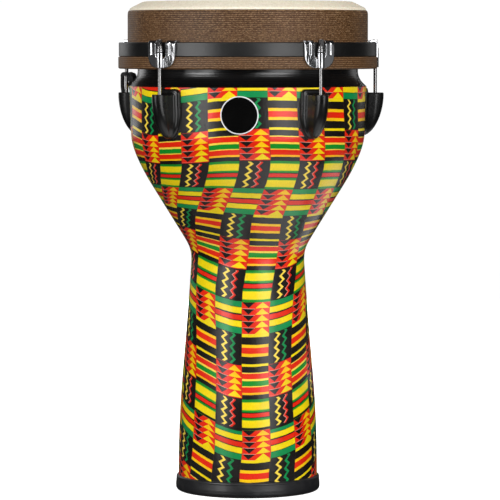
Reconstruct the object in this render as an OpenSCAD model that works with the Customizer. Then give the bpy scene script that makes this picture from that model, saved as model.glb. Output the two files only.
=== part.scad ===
// Djembe: a goblet-shaped hand drum with a synthetic shell, a cloth-wrapped
// outside, and a head tuned by five key rods. Millimetres, +Z up. The origin is
// the centre of the base ring's underside, and the badge faces -Y.

/* [Foot and waist] */
// Outer radius of the cloth at the foot
foot_r = 88.7; // [86:0.1:90]
// Outer radius of the cloth at the waist
waist_r = 72.2; // [70:0.1:74]
// Height of the waist
waist_z = 289.6; // [285:0.1:291]

/* [Bowl] */
// Outer radius of the cloth where the bowl turns upright
bowl_r = 148.8; // [148.4:0.1:149.2]
// Height where the bowl turns upright
bowl_z = 459.2; // [457:0.1:461]
// Outer radius of the cloth at its top edge
lip_r = 150.9; // [150.6:0.1:151.1]
// Height of the cloth's top edge
lip_z = 515.4; // [514:0.1:516]
// Wall thickness of the shell
shell_wall = 6; // [5:0.25:6.5]
// Thickness of the laminated cloth
wrap_t = 0.8; // [0.5:0.1:1]

/* [Neck and bearing edge] */
// Outer radius of the bare neck under the head
neck_r = 140; // [139:0.1:141]
// Outer radius of the shell inside the head
edge_r = 148; // [147.4:0.1:148.2]

/* [Base ring] */
// Outer radius of the rubber base ring
ring_r = 92.1; // [91.5:0.1:94]
// Height of the rubber base ring
ring_h = 20; // [18:0.5:24]

/* [Head] */
// Height of the playing surface
head_z = 623; // [622.5:0.1:623.5]
// Thickness of the head film
skin_t = 1; // [0.6:0.1:1]
// Outer radius of the head's collar
collar_r = 152.6; // [152.2:0.1:153]
// Outer radius of the flesh hoop
flesh_r = 164.6; // [164.5:0.1:165.3]
// Underside of the flesh hoop
flesh_z = 538; // [537:0.1:539]
// Outer radius of the tuning hoop
hoop_r = 163.9; // [163.4:0.1:164]
// Thickness of the tuning hoop's band
hoop_t = 5; // [4:0.1:5]
// Height of the tuning hoop's band
hoop_h = 17.9; // [17:0.1:18]

/* [Hardware] */
// Radius of the circle that the tension rods stand on
rod_circle_r = 168.7; // [168.6:0.05:168.9]
// Shank radius of a tension rod
rod_r = 2.3; // [2.2:0.05:2.35]
// Side of the square key head
key_side = 5.6; // [5:0.1:6]
// Width of a claw
claw_w = 44.2; // [43.2:0.2:45.2]
// Top of a lug's boss
lug_top_z = 507; // [505:0.1:508]
// Half the width of a lug's plate
lug_half_w = 17.6; // [16:0.1:19]
// Diameter of the badge
badge_d = 47; // [44:0.5:50]
// Radius of the cord tied to one rod
cord_r = 2.7; // [2:0.1:2.7]

/* [Hidden] */
$fn = 96;

// Lug angles, counted from -Y towards +X
A_FL = -36; A_FR = 36; A_RR = 108; A_BK = 180; A_LR = -108;
ANGLES = [A_FL, A_FR, A_RR, A_BK, A_LR];

// ---- curves ----
function bz(a, b, c, d, t) =
    pow(1-t,3)*a + 3*pow(1-t,2)*t*b + 3*(1-t)*t*t*c + pow(t,3)*d;
function bzd(a, b, c, d, t) =
    3*pow(1-t,2)*(b-a) + 6*(1-t)*t*(c-b) + 3*t*t*(d-c);
function unit(v) = v/norm(v);
function rev(l) = [for (i = [len(l)-1:-1:0]) l[i]];
function arc(cx, cy, r, a0, a1, n=8) =
    [for (i = [0:n]) let(a = a0+(a1-a0)*i/n) [cx+r*cos(a), cy+r*sin(a)]];
// a rounded rectangle in the (radius, height) plane
function rrect(x0, y0, x1, y1, r, n=6) = concat(
    arc(x1-r, y0+r, r, -90, 0, n), arc(x1-r, y1-r, r, 0, 90, n),
    arc(x0+r, y1-r, r, 90, 180, n), arc(x0+r, y0+r, r, 180, 270, n));

// Outside of the cloth, from the foot to its top edge, moved inwards by d.
// Four Bezier pieces: the tapering foot, the waist, the cone of the bowl and
// its shoulder; the cloth then leans out a little up to its top edge.
FOOT = [[foot_r, 5], [foot_r+0.2, 130], [82.2, 139.1], [waist_r, waist_z]];
WAIST = [[waist_r, waist_z], [waist_r-0.9, waist_z+17.5], [73.8, 312.1], [84, 328.6]];
CONE = [[84, 328.6], [97.9, 351.4], [112.9, 375.1], [126.8, 398]];
SHOULDER = [[126.8, 398], [146.2, 432.4], [148.6, 446.3], [bowl_r, bowl_z]];
function piece(P, d, n, first=1) = [for (i = [first:n]) let(t = i/n,
    p = bz(P[0], P[1], P[2], P[3], t), v = unit(bzd(P[0], P[1], P[2], P[3], t)))
    p + d*[-v[1], v[0]]];
LEAN = unit([lip_r-bowl_r, lip_z-bowl_z]);
function side(d) = concat(
    [[foot_r-d, 5]], piece(FOOT, d, 18), piece(WAIST, d, 12), piece(CONE, d, 2),
    piece(SHOULDER, d, 14),
    [[lip_r, lip_z] + d*[-LEAN[1], 0]]);
// radius of the cloth's outside on the bowl's upright part
function bowl_at(z) = bowl_r + (lip_r-bowl_r)*(z-bowl_z)/(lip_z-bowl_z);

module revolve(p, n=180) { rotate_extrude($fn = n) polygon(p); }
module at_angle(a) { rotate([0, 0, a]) children(); }

// ---- shell ----
INNER_TOP = [[lip_r-7.4, lip_z+0.2], [141.6, 523], [137, 529], [134.3, 535], [133.6, 541],
    [133.6, 547], [134.8, 552], [137.8, 558], [140.5, 563], [141.5, 568],
    [141.5, 600], [140.3, 606], [136.9, 610], [132.9, 612.4], [130.3, 615.2], [129.6, 617.6],
    [129.9, 620], [130.8, 621.3]];
EDGE = [[132.2, 621.5], [134.4, 620.65], [146.2, 614.65], [147.4, 613.4], [edge_r, 611.4], [edge_r, 568],
    [147.1, 563], [144.4, 557], [141.4, 551.5], [neck_r, 546.5]];
FLARE = [[lip_r-0.3, lip_z+0.6], [lip_r-3.9, lip_z+4.1], [neck_r+0.2, lip_z+9], [neck_r, lip_z+19.5]];
// the one-piece shell in three lengths: foot and waist, cone and shoulder, rim
function foot_side(d) = concat([[foot_r-d, 5]], piece(FOOT, d, 18), piece(WAIST, d, 12));
function bowl_side(d) = concat(piece(WAIST, d, 1), piece(CONE, d, 2), piece(SHOULDER, d, 14));
function rim_side(d) = concat(piece(SHOULDER, d, 1), [[lip_r, lip_z] + d*[-LEAN[1], 0]]);
skin_d = wrap_t+0.02;
wall_d = wrap_t+shell_wall;

SCREW_Z = [467.2, 502.5];
module shell_foot() {
    color([0.03, 0.03, 0.035]) revolve(concat(foot_side(skin_d), rev(foot_side(wall_d))));
}
module shell_bowl() {
    color([0.03, 0.03, 0.035]) revolve(concat(bowl_side(skin_d), rev(bowl_side(wall_d))));
}
module shell_rim() {
    color([0.03, 0.03, 0.035]) difference() {
        revolve(concat(rim_side(skin_d), [[lip_r-0.1, lip_z+0.15], [lip_r-0.05, lip_z+0.4]],
            piece(FLARE, 0, 10, 0), rev(EDGE), rev(INNER_TOP), rev(rim_side(wall_d))));
        for (a = ANGLES, z = SCREW_Z) at_angle(a)
            translate([0, -130, z]) rotate([90, 0, 0]) cylinder(r = 3.3, h = 30);
    }
}

module cloth_wrap() {
    color([0.85, 0.35, 0.1]) difference() {
        revolve(concat(side(0), rev(side(wrap_t))));
        for (a = ANGLES, z = SCREW_Z) at_angle(a)
            translate([0, -130, z]) rotate([90, 0, 0]) cylinder(r = 3.3, h = 30);
    }
}

// Rubber channel that the foot stands in
module base_ring() {
    in_r = foot_r-wrap_t-shell_wall-0.15;
    color([0.12, 0.12, 0.12]) revolve(concat(
        arc(ring_r-5, 5, 5, -90, 0, 6),
        [[ring_r, 9], [ring_r-0.7, ring_h-4]],
        arc(ring_r-3.4, ring_h-2.8, 2.8, 10, 90, 6),
        [[foot_r+0.05, ring_h-0.2], [foot_r+0.15, 4.8], [in_r, 4.8], [in_r-0.2, ring_h-7]],
        arc(in_r-2, ring_h-7, 1.8, 0, 180, 6),
        arc(in_r-0.8, 3, 3, 180, 270, 5)));
}

// ---- head ----
SKIN_OUT = [[0, head_z], [130.8, head_z], [133, head_z-0.35], [135, head_z-1.15], [147.2, head_z-7.3],
    [148.8, head_z-8.3], [149.8, head_z-9.5], [150.3, head_z-11.4]];
SKIN_IN = [[0, head_z-skin_t], [130.6, head_z-skin_t], [132.6, head_z-0.3-skin_t],
    [134.6, head_z-1.1-skin_t], [146.7, head_z-7.2-skin_t], [148.1, head_z-8.1-skin_t],
    [148.95, head_z-9.2-skin_t], [150.3-skin_t, head_z-11.8]];
module head_skin() {
    color([0.87, 0.84, 0.76]) revolve(concat(
        SKIN_OUT, [[150.3, flesh_z+4]], [[150.3-skin_t, flesh_z+4]], rev(SKIN_IN)));
}

module head_collar() {
    color([0.42, 0.31, 0.24]) revolve(concat(
        [[150.45, flesh_z+15.4], [collar_r, flesh_z+15.4]],
        [[collar_r, head_z-17], [collar_r-0.2, head_z-14.6], [collar_r-0.7, head_z-12.7],
         [collar_r-1.3, head_z-11.7], [150.45, head_z-11.4]]));
}

module flesh_hoop() {
    color([0.42, 0.31, 0.24]) revolve(concat(
        arc(flesh_r-2.2, flesh_z+2.2, 2.2, -90, 0, 6), arc(flesh_r-1.2, flesh_z+14, 1.2, 0, 90, 5),
        [[150.45, flesh_z+15.2], [150.45, flesh_z+1]], arc(151.45, flesh_z+1, 1, 180, 270, 4)));
}

module tuning_hoop() {
    color([0.07, 0.07, 0.07])
        revolve(rrect(hoop_r-hoop_t, flesh_z+15.4, hoop_r, flesh_z+15.4+hoop_h, 1.3, 6));
}

// ---- claws ----
CLAW_IN = flesh_r+0.2;
HOOP_TOP = flesh_z+15.4+hoop_h;
// hook over the hoop, then the plate down to the flesh hoop's underside
claw_section = concat(
    [[CLAW_IN, flesh_z+1.4], [CLAW_IN+2.8, flesh_z+1.4]],
    arc(CLAW_IN-3.2, HOOP_TOP-3.2, 6, 0, 90, 8),
    arc(hoop_r-hoop_t+1, HOOP_TOP-0.9, 3.7, 90, 180, 6),
    [[hoop_r-hoop_t-2.7, HOOP_TOP-7], [hoop_r-hoop_t-1.9, HOOP_TOP-8], [hoop_r-hoop_t-0.8, HOOP_TOP-8],
     [hoop_r-hoop_t-0.2, HOOP_TOP-7], [hoop_r-hoop_t-0.2, HOOP_TOP-1],
     [hoop_r-hoop_t+0.8, HOOP_TOP+0.2], [hoop_r-0.9, HOOP_TOP+0.2], [hoop_r+0.2, HOOP_TOP-1],
     [hoop_r+0.2, flesh_z+17], [CLAW_IN, flesh_z+16]]);
CLAW_MID_Z = flesh_z+18.8;
claw_outline = concat(
    [for (i = [0:28]) let(a = 180+180*i/28, c = cos(a), d = sin(a))
        [(claw_w/2-0.6)*sign(c)*pow(abs(c), 0.76), CLAW_MID_Z-17.4*pow(abs(d), 0.76)]],
    [[claw_w/2, HOOP_TOP+4], [-claw_w/2, HOOP_TOP+4]]);
BOSS_TOP = flesh_z+20.3;
claw_gap = concat(
    [for (i = [0:16]) let(a = 180+180*i/16) [8.3*cos(a), CLAW_MID_Z+0.9+8.3*sin(a)]],
    [[8.3, HOOP_TOP+30], [-8.3, HOOP_TOP+30]]);
module claw(a) {
    color([0.8, 0.8, 0.82]) at_angle(a) difference() {
        union() {
            difference() {
                intersection() {
                    at_angle(-100) rotate_extrude(angle = 20, $fn = 180) polygon(claw_section);
                    translate([0, -150, 0]) rotate([90, 0, 0]) linear_extrude(30) polygon(claw_outline);
                }
                // the gap between the two horns, behind the rod's head
                translate([0, -145, 0]) rotate([90, 0, 0]) linear_extrude(40) polygon(claw_gap);
                // a groove down each horn
                for (s = [-1, 1]) at_angle(s*5.1)
                    translate([0, -CLAW_IN-4.3, CLAW_MID_Z-1.4]) cylinder(r = 2.5, h = 40);
            }
            difference() {
                translate([0, -rod_circle_r, flesh_z+1.4]) cylinder(r = 4.6, h = BOSS_TOP-flesh_z-1.4);
                cylinder(r = CLAW_IN, h = 600);
            }
        }
        translate([0, -rod_circle_r, flesh_z]) cylinder(r = 2.75, h = 40);
    }
}
module claw_front_left() { claw(A_FL); }
module claw_front_right() { claw(A_FR); }
module claw_right_rear() { claw(A_RR); }
module claw_back() { claw(A_BK); }
module claw_left_rear() { claw(A_LR); }

// ---- tension rods ----
ROD_END = 475;
module rod(a) {
    color([0.78, 0.78, 0.8]) at_angle(a) translate([0, -rod_circle_r, 0]) {
        translate([0, 0, ROD_END]) cylinder(r1 = rod_r-0.7, r2 = rod_r, h = 0.8);
        translate([0, 0, ROD_END+0.8]) cylinder(r = rod_r, h = BOSS_TOP+4-ROD_END-0.8);
        // ringed flange, neck and square head
        rotate_extrude() polygon([[0, BOSS_TOP+3.1], [4, BOSS_TOP+3.1], [4.5, BOSS_TOP+3.6], [4.5, BOSS_TOP+5.1],
            [4, BOSS_TOP+5.7], [3.5, BOSS_TOP+6.1], [3.9, BOSS_TOP+6.6], [3.9, BOSS_TOP+7.6],
            [2.9, BOSS_TOP+9], [0, BOSS_TOP+9]]);
        intersection() {
            translate([-key_side/2, -key_side/2, BOSS_TOP+7]) cube([key_side, key_side, 9.6]);
            rotate_extrude() polygon([[0, BOSS_TOP+7], [3.6, BOSS_TOP+7], [3.6, BOSS_TOP+15.9],
                [2.7, BOSS_TOP+16.6], [0, BOSS_TOP+16.6]]);
        }
    }
}
module rod_front_left() { rod(A_FL); }
module rod_front_right() { rod(A_FR); }
module rod_right_rear() { rod(A_RR); }
module rod_back() { rod(A_BK); }
module rod_left_rear() { rod(A_LR); }

module rod_washers() {
    color([0.72, 0.72, 0.74]) for (a = ANGLES) at_angle(a) translate([0, -rod_circle_r, BOSS_TOP+1.25])
        difference() { cylinder(r = 4.5, h = 1.7); translate([0, 0, -1]) cylinder(r = 2.6, h = 4); }
}
module rod_bushes() {
    color([0.15, 0.15, 0.15]) for (a = ANGLES) at_angle(a) translate([0, -rod_circle_r, BOSS_TOP+0.05])
        difference() { cylinder(r = 4.3, h = 1.1); translate([0, 0, -1]) cylinder(r = 2.6, h = 4); }
}

// ---- lugs ----
LUG_OUT = rod_circle_r+11.2;
LUG_BASE = 452;
LUG_MID = 504;
// how far the boss stands out at height z, as a share of its most
function swell(z) = z >= LUG_MID ? 1 : pow(1-pow((LUG_MID-z)/(LUG_MID-LUG_BASE), 1.8), 1/1.8);
lug_side = concat([[150, LUG_BASE]],
    [for (i = [0:14]) let(z = LUG_BASE+0.01+(LUG_MID-LUG_BASE-0.01)*(1-cos(90*i/14)))
        [152+(LUG_OUT-152)*swell(z), z]],
    [[LUG_OUT-0.3, lug_top_z-0.8], [LUG_OUT-1.1, lug_top_z], [150, lug_top_z]]);
lug_plan = concat([[-13.4, -150], [-11.2, -158]],
    [for (i = [0:20]) let(a = 180+180*i/20)
        [9.6*cos(a), -(rod_circle_r-2)+13.2*sin(a)]],
    [[11.2, -158], [13.4, -150]]);
// lower end of a lug seen from the front: half width w, height h, blunter than an ellipse
function tongue(w, h, n) = [for (i = [0:n]) let(a = 180+180*i/n)
    [w*sign(cos(a))*pow(abs(cos(a)), 0.78), LUG_BASE+h-h*pow(abs(sin(a)), 0.78)]];
boss_front = concat(
    tongue(13.6, 30, 18),
    [[13.6, lug_top_z+1], [-13.6, lug_top_z+1]]);
PLATE_TOP = 513.8;
plate_front = concat(
    tongue(lug_half_w, 32, 22),
    arc(lug_half_w-7, PLATE_TOP-7, 7, 0, 90, 6), arc(-lug_half_w+7, PLATE_TOP-7, 7, 90, 180, 6));
GASKET = 1;
// the space from d0 to d1 outside the bowl's cloth
module jacket(d0, d1) {
    rotate([0, 0, -100]) rotate_extrude(angle = 20, $fn = 180) polygon([
        [bowl_at(440)+d0, 440], [bowl_at(440)+d1, 440], [bowl_at(520)+d1, 520], [bowl_at(520)+d0, 520]]);
}
module front_prism(p) { translate([0, -120, 0]) rotate([90, 0, 0]) linear_extrude(80) polygon(p); }
module lug(a) {
    color([0.04, 0.04, 0.045]) at_angle(a) difference() {
        union() {
            intersection() {
                jacket(GASKET, 5.2);
                front_prism(plate_front);
            }
            intersection() {
                rotate([90, 0, 90]) translate([0, 0, -20]) linear_extrude(40)
                    polygon([for (p = lug_side) [-p[0], p[1]]]);
                translate([0, 0, 440]) linear_extrude(80) polygon(lug_plan);
                front_prism(boss_front);
                jacket(GASKET, 40);
            }
        }
        // the nut's pocket, open at the back
        translate([0, -rod_circle_r, 478]) cylinder(r = 4.4, h = 16);
        translate([-4.4, -rod_circle_r, 478]) cube([8.8, 25, 16]);
        translate([0, -rod_circle_r, 474.4]) cylinder(r = 2.7, h = 40);
        for (z = SCREW_Z) translate([0, -145, z]) rotate([90, 0, 0]) cylinder(r = 2.95, h = 17.5);
    }
}
module lug_front_left() { lug(A_FL); }
module lug_front_right() { lug(A_FR); }
module lug_right_rear() { lug(A_RR); }
module lug_back() { lug(A_BK); }
module lug_left_rear() { lug(A_LR); }

// Threaded nuts that the rods screw into
module lug_nuts() {
    color([0.75, 0.72, 0.6]) for (a = ANGLES) at_angle(a) translate([0, -rod_circle_r, 478.1])
        difference() { cylinder(r = 4.3, h = 15.8); translate([0, 0, -1]) cylinder(r = rod_r+0.07, h = 20); }
}
module lug_gaskets() {
    color([0.1, 0.1, 0.1]) for (a = ANGLES) at_angle(a) difference() {
        intersection() { jacket(0.05, GASKET-0.05); front_prism(plate_front); }
        for (z = SCREW_Z) translate([0, -140, z]) rotate([90, 0, 0]) cylinder(r = 3.3, h = 30);
    }
}
SCREW_IN = 140.4;
module lug_screws() {
    color([0.7, 0.7, 0.7]) for (a = ANGLES, z = SCREW_Z) at_angle(a) translate([0, -SCREW_IN, z]) {
        rotate([90, 0, 0]) cylinder(r = 2.9, h = 21);
        rotate([-90, 0, 0]) difference() {
            union() {
                cylinder(r = 5.6, h = 2.2);
                translate([0, 0, 2.2]) cylinder(r1 = 5.6, r2 = 4, h = 1.2);
            }
            translate([-0.6, -5, 2]) cube([1.2, 10, 3]);
            translate([-5, -0.6, 2]) cube([10, 1.2, 3]);
        }
    }
}
module lug_screw_washers() {
    color([0.7, 0.7, 0.7]) for (a = ANGLES, z = SCREW_Z) at_angle(a) translate([0, -SCREW_IN-0.02, z])
        rotate([90, 0, 0]) difference() { cylinder(r = 7.5, h = 1.2); translate([0, 0, -1]) cylinder(r = 3.1, h = 4); }
}

// ---- badge ----
BADGE_Z = 482;
module badge_disc() {
    color([0.02, 0.02, 0.02]) intersection() {
        jacket(0.05, 1.3);
        translate([0, -120, BADGE_Z]) rotate([90, 0, 0]) cylinder(r = badge_d/2-1.35, h = 50);
    }
}
module badge_rim() {
    color([0.8, 0.8, 0.8]) intersection() {
        jacket(0.05, 1.9);
        translate([0, -120, BADGE_Z]) rotate([90, 0, 0]) difference() {
            cylinder(r = badge_d/2, h = 50);
            translate([0, 0, -1]) cylinder(r = badge_d/2-1.3, h = 52);
        }
    }
}

// ---- cord loop ----
// The route in the frame of one rod: along the hoop, outwards, up
LOOP = [[-13.2, 5, 474], [-13.4, 7.2, 484], [-13.4, 8.4, 496], [-13.2, 8.6, 506], [-10, 8.2, 512.6], [-6, 6.6, 519],
    [-1.6, 5.6, 525.4], [2.6, 4.6, 529.4], [5.2, 1.2, 530.6], [4.8, -3.6, 530], [1.6, -7.4, 527.6], [-3, -5, 524],
    [-6.4, -2.2, 518.6], [-10.2, -0.6, 512.4], [-13.2, -0.6, 505.4], [-13.6, -1.6, 495], [-13.4, -2.6, 482],
    [-13.2, -2, 473.4], [-13.2, 1.4, 469.8]];
SIDES = 8;
function at(l, i) = l[(i+len(l))%len(l)];
// a closed curve through the route's points, two steps to each stretch
SMOOTH = [for (i = [0:len(LOOP)-1]) each [at(LOOP, i),
    (9*(at(LOOP, i)+at(LOOP, i+1))-at(LOOP, i-1)-at(LOOP, i+2))/16]];
function along(l, i) = unit(at(l, i+1)-at(l, i-1));
function cross_dir(l, i) = let(t = along(l, i), c = [-6, 0, 496]-at(l, i)) unit(c-(c*t)*t);
RINGS = [for (i = [0:len(SMOOTH)-1]) let(t = along(SMOOTH, i), u = cross_dir(SMOOTH, i), w = cross(t, u))
    for (k = [0:SIDES-1]) let(a = 360*k/SIDES) SMOOTH[i]+cord_r*(cos(a)*u+sin(a)*w)];
NR = len(SMOOTH);
module cord_loop() {
    color([0.03, 0.03, 0.03]) at_angle(A_LR) translate([0, -rod_circle_r, 0]) mirror([0, 1, 0]) union() {
        polyhedron(points = RINGS, faces = [for (i = [0:NR-1], k = [0:SIDES-1])
            let(j = (i+1)%NR, m = (k+1)%SIDES)
            [i*SIDES+k, j*SIDES+k, j*SIDES+m, i*SIDES+m]]);
        translate([1.2, -8.2, 526]) sphere(r = 5, $fn = 32);
    }
}

shell_foot();
shell_bowl();
shell_rim();
cloth_wrap();
base_ring();
head_skin();
head_collar();
flesh_hoop();
tuning_hoop();
claw_front_left();
claw_front_right();
claw_right_rear();
claw_back();
claw_left_rear();
rod_front_left();
rod_front_right();
rod_right_rear();
rod_back();
rod_left_rear();
rod_washers();
rod_bushes();
lug_front_left();
lug_front_right();
lug_right_rear();
lug_back();
lug_left_rear();
lug_nuts();
lug_gaskets();
lug_screws();
lug_screw_washers();
badge_disc();
badge_rim();
cord_loop();
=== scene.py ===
import math

import bmesh
import bpy
import numpy as np
from mathutils import Matrix, Vector


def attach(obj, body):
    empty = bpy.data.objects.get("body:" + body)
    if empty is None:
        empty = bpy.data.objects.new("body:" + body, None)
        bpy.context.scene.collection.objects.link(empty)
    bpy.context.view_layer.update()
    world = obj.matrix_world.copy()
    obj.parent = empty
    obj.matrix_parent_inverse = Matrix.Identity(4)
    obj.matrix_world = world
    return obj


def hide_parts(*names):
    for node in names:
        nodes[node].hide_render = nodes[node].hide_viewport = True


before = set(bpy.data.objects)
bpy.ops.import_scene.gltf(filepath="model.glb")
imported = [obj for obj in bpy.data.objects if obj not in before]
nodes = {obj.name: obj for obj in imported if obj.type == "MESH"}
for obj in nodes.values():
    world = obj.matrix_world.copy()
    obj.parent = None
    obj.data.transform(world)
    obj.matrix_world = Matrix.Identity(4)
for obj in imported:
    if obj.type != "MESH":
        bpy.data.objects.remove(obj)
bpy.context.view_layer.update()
NAMES = {"front_left": -36, "front_right": 36, "right_rear": 108, "back": 180, "left_rear": -108}
ROD_R = 0.1687
scene = bpy.context.scene


# ---------------------------------------------------------------- node helpers
def lin(r, g, b):
    """sRGB 0..255 to a linear RGBA colour."""
    def f(c):
        c /= 255
        return c / 12.92 if c <= 0.04045 else ((c + 0.055) / 1.055) ** 2.4
    return (f(r), f(g), f(b), 1.0)


class Val:
    """A socket that does arithmetic with math nodes."""

    def __init__(self, g, s):
        self.g, self.s = g, s

    def __add__(self, o): return self.g.math("ADD", self, o)
    def __sub__(self, o): return self.g.math("SUBTRACT", self, o)
    def __rsub__(self, o): return self.g.math("SUBTRACT", o, self)
    def __mul__(self, o): return self.g.math("MULTIPLY", self, o)
    def __truediv__(self, o): return self.g.math("DIVIDE", self, o)
    def __lt__(self, o): return self.g.math("LESS_THAN", self, o)
    def __gt__(self, o): return self.g.math("GREATER_THAN", self, o)
    __radd__ = __add__
    __rmul__ = __mul__


class Graph:
    def __init__(self, name, **sockets):
        self.mat = bpy.data.materials.new(name)
        self.mat.use_nodes = True
        self.t = self.mat.node_tree
        self.t.nodes.clear()
        out = self.t.nodes.new("ShaderNodeOutputMaterial")
        self.b = self.t.nodes.new("ShaderNodeBsdfPrincipled")
        self.t.links.new(self.b.outputs[0], out.inputs[0])
        for k, v in sockets.items():
            self.b.inputs[k.replace("_", " ")].default_value = v
        self._obj = None

    def put(self, sock, v):
        if isinstance(v, Val):
            self.t.links.new(v.s, sock)
        else:
            sock.default_value = v

    def to(self, name, v):
        self.put(self.b.inputs[name], v)

    def math(self, op, *args, clamp=False):
        n = self.t.nodes.new("ShaderNodeMath")
        n.operation = op
        n.use_clamp = clamp
        for s, a in zip(n.inputs, args):
            self.put(s, a)
        return Val(self, n.outputs[0])

    def obj(self):
        """(x, y, z, vector) of the row frame."""
        if self._obj is None:
            n = self.t.nodes.new("ShaderNodeTexCoord")
            s = self.t.nodes.new("ShaderNodeSeparateXYZ")
            self.t.links.new(n.outputs["Object"], s.inputs[0])
            self._obj = tuple(Val(self, o) for o in s.outputs) + (Val(self, n.outputs["Object"]),)
        return self._obj

    def uv(self, name):
        n = self.t.nodes.new("ShaderNodeUVMap")
        n.uv_map = name
        s = self.t.nodes.new("ShaderNodeSeparateXYZ")
        self.t.links.new(n.outputs[0], s.inputs[0])
        return Val(self, s.outputs[0]), Val(self, s.outputs[1])

    def vec(self, x, y, z=0.0):
        n = self.t.nodes.new("ShaderNodeCombineXYZ")
        for s, a in zip(n.inputs, (x, y, z)):
            self.put(s, a)
        return Val(self, n.outputs[0])

    def noise(self, vec, scale, detail=2.0, rough=0.5, distort=0.0, colour=False):
        n = self.t.nodes.new("ShaderNodeTexNoise")
        self.put(n.inputs["Vector"], vec)
        n.inputs["Scale"].default_value = scale
        n.inputs["Detail"].default_value = detail
        n.inputs["Roughness"].default_value = rough
        n.inputs["Distortion"].default_value = distort
        return Val(self, n.outputs[1 if colour else 0])

    def voronoi(self, vec, scale, feature="F1"):
        n = self.t.nodes.new("ShaderNodeTexVoronoi")
        n.feature = feature
        self.put(n.inputs["Vector"], vec)
        n.inputs["Scale"].default_value = scale
        return Val(self, n.outputs[0])

    def ramp(self, fac, stops, interp="LINEAR"):
        n = self.t.nodes.new("ShaderNodeValToRGB")
        e = n.color_ramp
        e.interpolation = interp
        self.put(n.inputs[0], fac)
        while len(e.elements) < len(stops):
            e.elements.new(0.5)
        for i, (p, c) in enumerate(stops):
            e.elements[i].position = p
        for i, (p, c) in enumerate(stops):
            e.elements[i].position = p
            e.elements[i].color = c if len(c) == 4 else (*c, 1)
        return Val(self, n.outputs[0])

    def smooth(self, x, a, b, lo=0.0, hi=1.0):
        n = self.t.nodes.new("ShaderNodeMapRange")
        n.interpolation_type = "SMOOTHSTEP"
        for s, v in zip(n.inputs[:5], (x, a, b, lo, hi)):
            self.put(s, v)
        return Val(self, n.outputs[0])

    def mix(self, f, a, b, blend="MIX"):
        n = self.t.nodes.new("ShaderNodeMix")
        n.data_type = "RGBA"
        n.blend_type = blend
        n.clamp_factor = True
        self.put(n.inputs[0], f)
        self.put(n.inputs[6], a)
        self.put(n.inputs[7], b)
        return Val(self, n.outputs[2])

    def bump(self, height, distance, strength=1.0, prior=None):
        n = self.t.nodes.new("ShaderNodeBump")
        n.inputs["Strength"].default_value = strength
        n.inputs["Distance"].default_value = distance
        self.put(n.inputs["Height"], height)
        if prior is not None:
            self.t.links.new(prior.s, n.inputs["Normal"])
        return Val(self, n.outputs[0])

    def cyl(self):
        """(arc angle, radius, height) round the drum's axis."""
        x, y, z, _ = self.obj()
        return self.math("ARCTAN2", x, y * -1.0), self.math("SQRT", x * x + y * y), z


# ---------------------------------------------------------------- profile (millimetres)
def bez(P, n):
    t = np.linspace(0, 1, n + 1)[:, None]
    P = np.array(P, float)
    p = (1 - t) ** 3 * P[0] + 3 * (1 - t) ** 2 * t * P[1] + 3 * (1 - t) * t * t * P[2] + t ** 3 * P[3]
    d = 3 * (1 - t) ** 2 * (P[1] - P[0]) + 6 * (1 - t) * t * (P[2] - P[1]) + 3 * t * t * (P[3] - P[2])
    d /= np.linalg.norm(d, axis=1)[:, None]
    return p, np.c_[d[:, 1], -d[:, 0]]


FOOT = [[88.7, 5], [88.9, 130], [82.2, 139.1], [72.2, 289.6]]
WAIST = [[72.2, 289.6], [71.3, 307.1], [73.8, 312.1], [84, 328.6]]
CONE = [[84, 328.6], [97.9, 351.4], [112.9, 375.1], [126.8, 398]]
SHOULDER = [[126.8, 398], [146.2, 432.4], [148.6, 446.3], [148.8, 459.2]]
LEAN = [[148.8, 459.2], [149.5, 477.93], [150.2, 496.67], [150.9, 515.4]]


def side(d, dense=1):
    """Outside of the cloth from the foot upwards, moved inwards by d."""
    pts = []
    for P, n in ((FOOT, 90), (WAIST, 22), (CONE, 36), (SHOULDER, 32), (LEAN, 24)):
        n = max(2, int(n * dense))
        p, nrm = bez(P, n)
        q = p - d * nrm
        pts.append(q if not pts else q[1:])
    return np.vstack(pts)


def mesh(name, verts, faces, smooth=True):
    me = bpy.data.meshes.new(name)
    me.from_pydata([tuple(v) for v in verts], [], [tuple(f) for f in faces])
    me.validate()
    me.update()
    o = bpy.data.objects.new(name, me)
    scene.collection.objects.link(o)
    if smooth:
        me.polygons.foreach_set("use_smooth", [True] * len(me.polygons))
    return o


def grid_object(name, co, closed_u=False, closed_v=False):
    """A mesh from a (nu, nv, 3) array of points in metres."""
    nu, nv = co.shape[:2]
    me = bpy.data.meshes.new(name)
    iu = np.arange(nu if closed_u else nu - 1)
    iv = np.arange(nv if closed_v else nv - 1)
    U, W = np.meshgrid(iu, iv, indexing="ij")
    U2, W2 = (U + 1) % nu, (W + 1) % nv
    faces = np.stack([U * nv + W, U2 * nv + W, U2 * nv + W2, U * nv + W2], -1).reshape(-1, 4)
    me.vertices.add(nu * nv)
    me.vertices.foreach_set("co", co.reshape(-1).astype(np.float32))
    me.loops.add(faces.size)
    me.loops.foreach_set("vertex_index", faces.reshape(-1).astype(np.int32))
    me.polygons.add(len(faces))
    me.polygons.foreach_set("loop_start", np.arange(0, faces.size, 4, dtype=np.int32))
    me.polygons.foreach_set("loop_total", np.full(len(faces), 4, np.int32))
    me.polygons.foreach_set("use_smooth", np.ones(len(faces), bool))
    me.update()
    me.validate()
    o = bpy.data.objects.new(name, me)
    scene.collection.objects.link(o)
    return o, faces


def set_uv(o, name, faces, uv):
    layer = o.data.uv_layers.new(name=name)
    layer.data.foreach_set("uv", uv[faces.reshape(-1)].reshape(-1).astype(np.float32))


# ---------------------------------------------------------------- strip cloth round the shell
PERIOD = 162.0
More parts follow.
